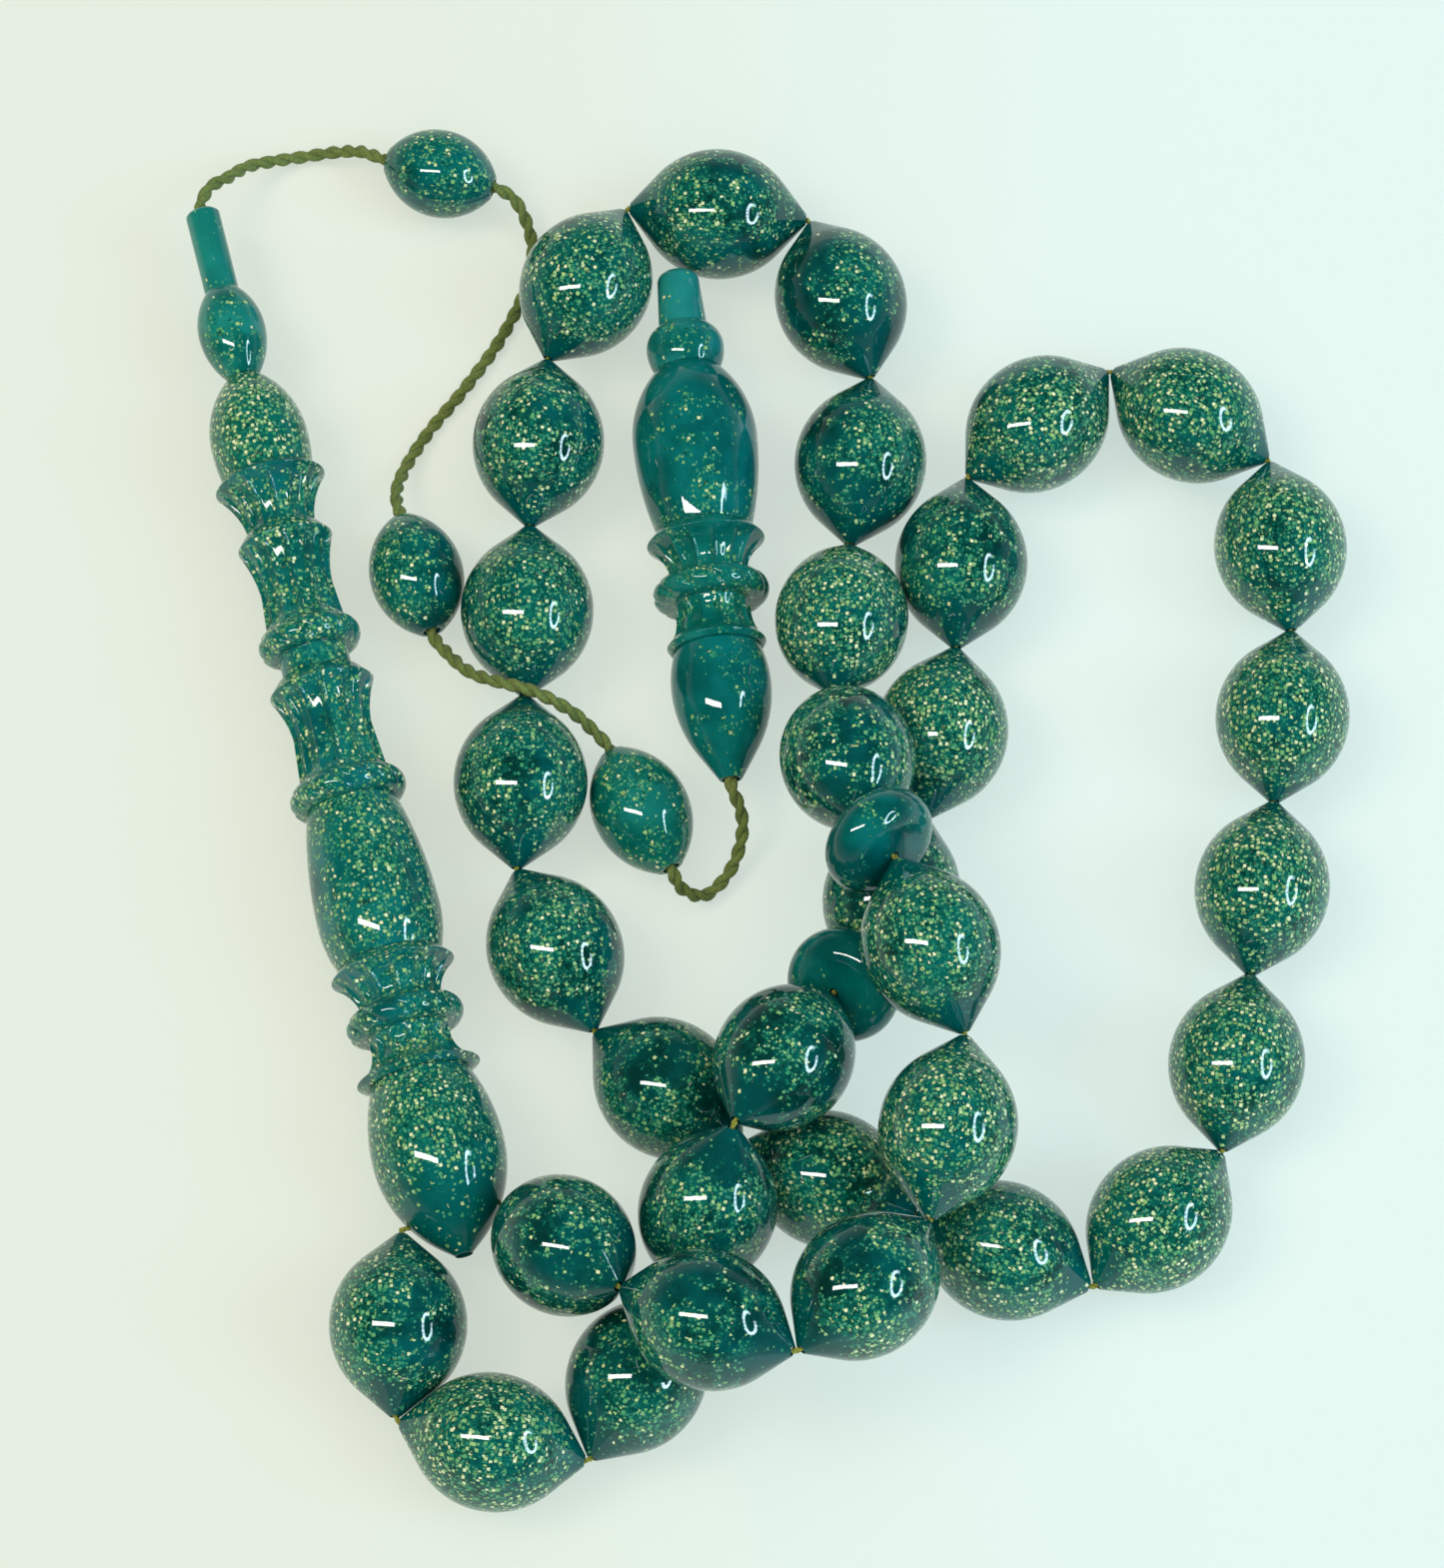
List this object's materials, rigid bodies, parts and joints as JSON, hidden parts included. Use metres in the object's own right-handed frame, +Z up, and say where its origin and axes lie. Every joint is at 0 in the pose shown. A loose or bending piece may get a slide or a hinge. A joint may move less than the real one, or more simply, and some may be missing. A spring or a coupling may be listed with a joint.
{
  "type": "misbaha prayer beads",
  "caption": "Loop of glitter-filled resin olive beads with divider discs, a turned head piece, and a twisted cord with small beads and a turned pendant, laid on a table.",
  "frame": {"origin": "on the table, under the middle of the laid-out beads, head piece and pendant", "axes": "+Z up from the table; +Y from the loop's bottom beads towards the head piece's plain tube, along the longer side; +X from the head piece across the loop"},
  "size_m": [0.1042, 0.129, 0.0239],
  "materials": {
    "teal_resin": "glossy, cloudy teal with gold and green flecks",
    "pale_teal_resin": "glossy, paler and plainer teal with few flecks",
    "string": "yellow-green thread",
    "twisted_cord": "olive green two-ply twist"
  },
  "bodies": {
    "thread_and_head": {"string": "string", "tassel_cord": "twisted_cord", "pendant_knot": "twisted_cord", "head_foot": "teal_resin", "head_collar": "teal_resin", "head_middle_olive": "teal_resin", "head_lower_tube": "teal_resin", "head_upper_tube": "teal_resin", "head_upper_olive": "teal_resin", "head_finial": "pale_teal_resin"},
    "bead_01": {"bead_01": "teal_resin"},
    "bead_02": {"bead_02": "teal_resin"},
    "bead_03": {"bead_03": "teal_resin"},
    "bead_04": {"bead_04": "teal_resin"},
    "bead_05": {"bead_05": "teal_resin"},
    "bead_06": {"bead_06": "teal_resin"},
    "bead_07": {"bead_07": "teal_resin"},
    "bead_08": {"bead_08": "teal_resin"},
    "bead_09": {"bead_09": "teal_resin"},
    "bead_10": {"bead_10": "teal_resin"},
    "bead_11": {"bead_11": "teal_resin"},
    "bead_12": {"bead_12": "teal_resin"},
    "bead_13": {"bead_13": "teal_resin"},
    "bead_14": {"bead_14": "teal_resin"},
    "bead_15": {"bead_15": "teal_resin"},
    "bead_16": {"bead_16": "teal_resin"},
    "bead_17": {"bead_17": "teal_resin"},
    "bead_18": {"bead_18": "teal_resin"},
    "bead_19": {"bead_19": "teal_resin"},
    "bead_20": {"bead_20": "teal_resin"},
    "bead_21": {"bead_21": "teal_resin"},
    "bead_22": {"bead_22": "teal_resin"},
    "bead_23": {"bead_23": "teal_resin"},
    "bead_24": {"bead_24": "teal_resin"},
    "bead_25": {"bead_25": "teal_resin"},
    "bead_26": {"bead_26": "teal_resin"},
    "bead_27": {"bead_27": "teal_resin"},
    "bead_28": {"bead_28": "teal_resin"},
    "bead_29": {"bead_29": "teal_resin"},
    "bead_30": {"bead_30": "teal_resin"},
    "bead_31": {"bead_31": "teal_resin"},
    "bead_32": {"bead_32": "teal_resin"},
    "bead_33": {"bead_33": "teal_resin"},
    "disc_1": {"disc_1": "pale_teal_resin"},
    "disc_2": {"disc_2": "pale_teal_resin"},
    "small_bead_1": {"small_bead_1": "pale_teal_resin"},
    "small_bead_2": {"small_bead_2": "pale_teal_resin"},
    "small_bead_3": {"small_bead_3": "pale_teal_resin"},
    "pendant": {"pendant_teardrop": "pale_teal_resin", "pendant_collar": "pale_teal_resin", "pendant_olive": "teal_resin", "pendant_tip": "pale_teal_resin"}
  },
  "joints": [
    {"name": "bead_01_spin", "type": "hinge", "parent": "thread_and_head", "child": "bead_01", "pos_m": [-0.03106, -0.04836, 0.0059], "axis": [-0.0179, -0.9998, 0], "continuous": true},
    {"name": "bead_02_spin", "type": "hinge", "parent": "thread_and_head", "child": "bead_02", "pos_m": [-0.02294, -0.05858, 0.0059], "axis": [0.9781, -0.2081, 0], "continuous": true},
    {"name": "bead_03_spin", "type": "hinge", "parent": "thread_and_head", "child": "bead_03", "pos_m": [-0.01075, -0.05289, 0.0059], "axis": [0.4692, 0.8831, 0], "continuous": true},
    {"name": "bead_04_spin", "type": "hinge", "parent": "thread_and_head", "child": "bead_04", "pos_m": [-0.00472, -0.03967, 0.01118], "axis": [0.2624, 0.7219, 0.6403], "continuous": true},
    {"name": "bead_05_spin", "type": "hinge", "parent": "thread_and_head", "child": "bead_05", "pos_m": [0.00177, -0.02702, 0.01384], "axis": [0.5155, 0.7944, -0.3213], "continuous": true},
    {"name": "bead_06_spin", "type": "hinge", "parent": "thread_and_head", "child": "bead_06", "pos_m": [0.01124, -0.01004, 0.00678], "axis": [0.3881, 0.9152, -0.1082], "continuous": true},
    {"name": "bead_07_spin", "type": "hinge", "parent": "thread_and_head", "child": "bead_07", "pos_m": [0.01579, 0.00537, 0.0059], "axis": [0.1732, 0.9849, 0], "continuous": true},
    {"name": "bead_08_spin", "type": "hinge", "parent": "thread_and_head", "child": "bead_08", "pos_m": [0.01775, 0.02138, 0.0059], "axis": [0.0693, 0.9976, 0], "continuous": true},
    {"name": "bead_09_spin", "type": "hinge", "parent": "thread_and_head", "child": "bead_09", "pos_m": [0.02474, 0.03483, 0.0059], "axis": [0.777, 0.6294, 0], "continuous": true},
    {"name": "bead_10_spin", "type": "hinge", "parent": "thread_and_head", "child": "bead_10", "pos_m": [0.0384, 0.03566, 0.0059], "axis": [0.8479, -0.5302, 0], "continuous": true},
    {"name": "bead_11_spin", "type": "hinge", "parent": "thread_and_head", "child": "bead_11", "pos_m": [0.04615, 0.02299, 0.0059], "axis": [0.0867, -0.9962, 0], "continuous": true},
    {"name": "bead_12_spin", "type": "hinge", "parent": "thread_and_head", "child": "bead_12", "pos_m": [0.04586, 0.00688, 0.0059], "axis": [-0.1223, -0.9925, 0], "continuous": true},
    {"name": "bead_13_spin", "type": "hinge", "parent": "thread_and_head", "child": "bead_13", "pos_m": [0.04361, -0.00909, 0.0059], "axis": [-0.1569, -0.9876, 0], "continuous": true},
    {"name": "bead_14_spin", "type": "hinge", "parent": "thread_and_head", "child": "bead_14", "pos_m": [0.04095, -0.02498, 0.0059], "axis": [-0.1741, -0.9847, 0], "continuous": true},
    {"name": "bead_15_spin", "type": "hinge", "parent": "thread_and_head", "child": "bead_15", "pos_m": [0.03392, -0.03905, 0.0059], "axis": [-0.6822, -0.7312, 0], "continuous": true},
    {"name": "bead_16_spin", "type": "hinge", "parent": "thread_and_head", "child": "bead_16", "pos_m": [0.0205, -0.04178, 0.0059], "axis": [-0.9137, 0.4064, 0], "continuous": true},
    {"name": "bead_17_spin", "type": "hinge", "parent": "thread_and_head", "child": "bead_17", "pos_m": [0.00566, -0.03548, 0.0059], "axis": [-0.9273, 0.3743, 0], "continuous": true},
    {"name": "bead_18_spin", "type": "hinge", "parent": "thread_and_head", "child": "bead_18", "pos_m": [-0.00819, -0.02733, 0.0059], "axis": [-0.7774, 0.629, 0], "continuous": true},
    {"name": "bead_19_spin", "type": "hinge", "parent": "thread_and_head", "child": "bead_19", "pos_m": [-0.018, -0.01479, 0.0059], "axis": [-0.4231, 0.9061, 0], "continuous": true},
    {"name": "bead_20_spin", "type": "hinge", "parent": "thread_and_head", "child": "bead_20", "pos_m": [-0.02117, 0.00077, 0.0059], "axis": [0.0344, 0.9994, 0], "continuous": true},
    {"name": "bead_21_spin", "type": "hinge", "parent": "thread_and_head", "child": "bead_21", "pos_m": [-0.02076, 0.01687, 0.0059], "axis": [0.017, 0.9999, 0], "continuous": true},
    {"name": "bead_22_spin", "type": "hinge", "parent": "thread_and_head", "child": "bead_22", "pos_m": [-0.01992, 0.03297, 0.0059], "axis": [0.0867, 0.9962, 0], "continuous": true},
    {"name": "bead_23_spin", "type": "hinge", "parent": "thread_and_head", "child": "bead_23", "pos_m": [-0.01578, 0.04845, 0.0059], "axis": [0.4223, 0.9065, 0], "continuous": true},
    {"name": "bead_24_spin", "type": "hinge", "parent": "thread_and_head", "child": "bead_24", "pos_m": [-0.00387, 0.05547, 0.0059], "axis": [0.9976, -0.0699, 0], "continuous": true},
    {"name": "bead_25_spin", "type": "hinge", "parent": "thread_and_head", "child": "bead_25", "pos_m": [0.00721, 0.04696, 0.0059], "axis": [0.3251, -0.9457, 0], "continuous": true},
    {"name": "bead_26_spin", "type": "hinge", "parent": "thread_and_head", "child": "bead_26", "pos_m": [0.00887, 0.03113, 0.0059], "axis": [-0.1223, -0.9925, 0], "continuous": true},
    {"name": "bead_27_spin", "type": "hinge", "parent": "thread_and_head", "child": "bead_27", "pos_m": [0.00705, 0.01527, 0.00796], "axis": [-0.1015, -0.9618, 0.2542], "continuous": true},
    {"name": "bead_28_spin", "type": "hinge", "parent": "thread_and_head", "child": "bead_28", "pos_m": [0.00737, 0.00022, 0.01356], "axis": [0.1404, -0.8897, 0.4345], "continuous": true},
    {"name": "bead_29_spin", "type": "hinge", "parent": "thread_and_head", "child": "bead_29", "pos_m": [0.01421, -0.01836, 0.01799], "axis": [0.3558, -0.9283, -0.108], "continuous": true},
    {"name": "bead_30_spin", "type": "hinge", "parent": "thread_and_head", "child": "bead_30", "pos_m": [0.01557, -0.03398, 0.01652], "axis": [-0.1907, -0.979, -0.0719], "continuous": true},
    {"name": "bead_31_spin", "type": "hinge", "parent": "thread_and_head", "child": "bead_31", "pos_m": [0.00846, -0.04796, 0.01709], "axis": [-0.6753, -0.7238, 0.1419], "continuous": true},
    {"name": "bead_32_spin", "type": "hinge", "parent": "thread_and_head", "child": "bead_32", "pos_m": [-0.00476, -0.05071, 0.01649], "axis": [-0.8927, 0.3971, -0.2132], "continuous": true},
    {"name": "bead_33_spin", "type": "hinge", "parent": "thread_and_head", "child": "bead_33", "pos_m": [-0.01694, -0.04259, 0.01036], "axis": [-0.5968, 0.5962, -0.5371], "continuous": true},
    {"name": "disc_1_spin", "type": "hinge", "parent": "thread_and_head", "child": "disc_1", "pos_m": [0.007, -0.01907, 0.00946], "axis": [0.4066, 0.5823, -0.704], "continuous": true},
    {"name": "disc_2_spin", "type": "hinge", "parent": "thread_and_head", "child": "disc_2", "pos_m": [0.0099, -0.00889, 0.01799], "axis": [0.561, -0.7469, 0.357], "continuous": true},
    {"name": "small_bead_1_spin", "type": "hinge", "parent": "thread_and_head", "child": "small_bead_1", "pos_m": [-0.0292, 0.0604, 0.004], "axis": [0.9613, -0.2756, 0], "continuous": true},
    {"name": "small_bead_2_spin", "type": "hinge", "parent": "thread_and_head", "child": "small_bead_2", "pos_m": [-0.0307, 0.021, 0.0042], "axis": [0.2588, -0.9659, 0], "continuous": true},
    {"name": "small_bead_3_spin", "type": "hinge", "parent": "thread_and_head", "child": "small_bead_3", "pos_m": [-0.0106, -0.0013, 0.0043], "axis": [0.4384, -0.8988, 0], "continuous": true},
    {"name": "pendant_spin", "type": "hinge", "parent": "thread_and_head", "child": "pendant", "pos_m": [-0.0027, 0.0011, 0.0056], "axis": [-0.0993, 0.9951, 0], "continuous": true}
  ]
}
